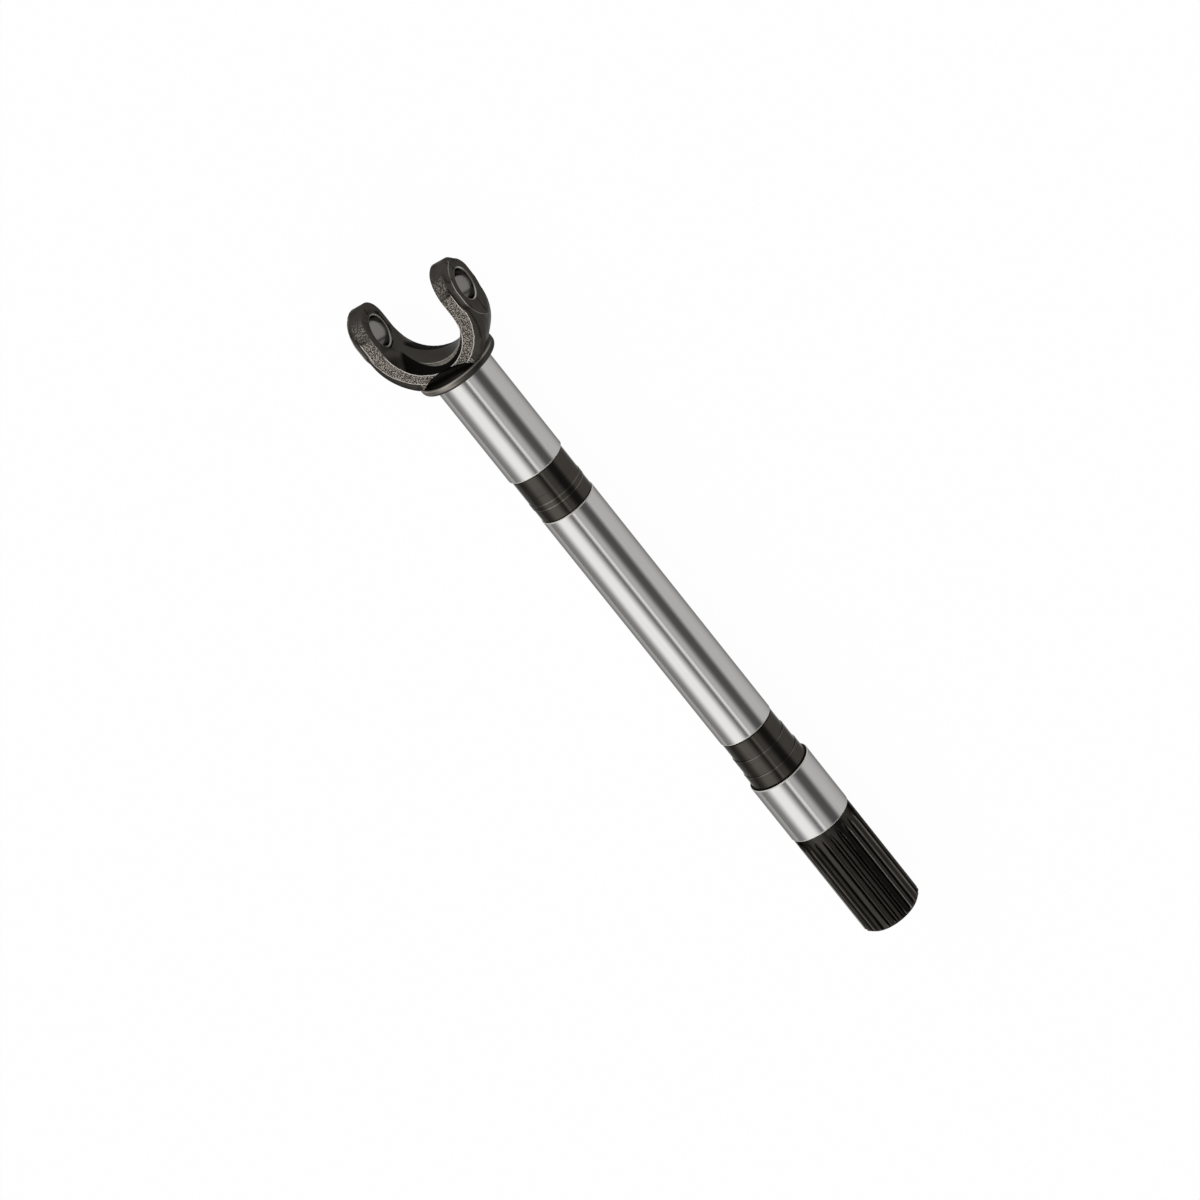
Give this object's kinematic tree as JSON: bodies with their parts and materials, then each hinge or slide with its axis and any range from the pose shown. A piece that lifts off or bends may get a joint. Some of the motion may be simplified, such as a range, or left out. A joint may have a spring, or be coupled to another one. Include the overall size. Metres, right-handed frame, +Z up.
{
  "type": "splined half shaft with a joint fork",
  "caption": "One-piece half shaft: a bored fork for a universal joint at one end, ground journals along it, and an external spline at the other end.",
  "frame": {"origin": "joint centre: where the shaft axis crosses the axis of the cross bore", "axes": "+X along the shaft axis to the splined end, +Y along the cross bore, +Z up, square to the fork's flat sides"},
  "size_m": [0.6248, 0.0914, 0.0636],
  "materials": {
    "forged_steel": "forged fork and spline blackened, journals and bores ground bright"
  },
  "bodies": {
    "root": {"splined_shaft": "forged_steel"}
  },
  "joints": []
}
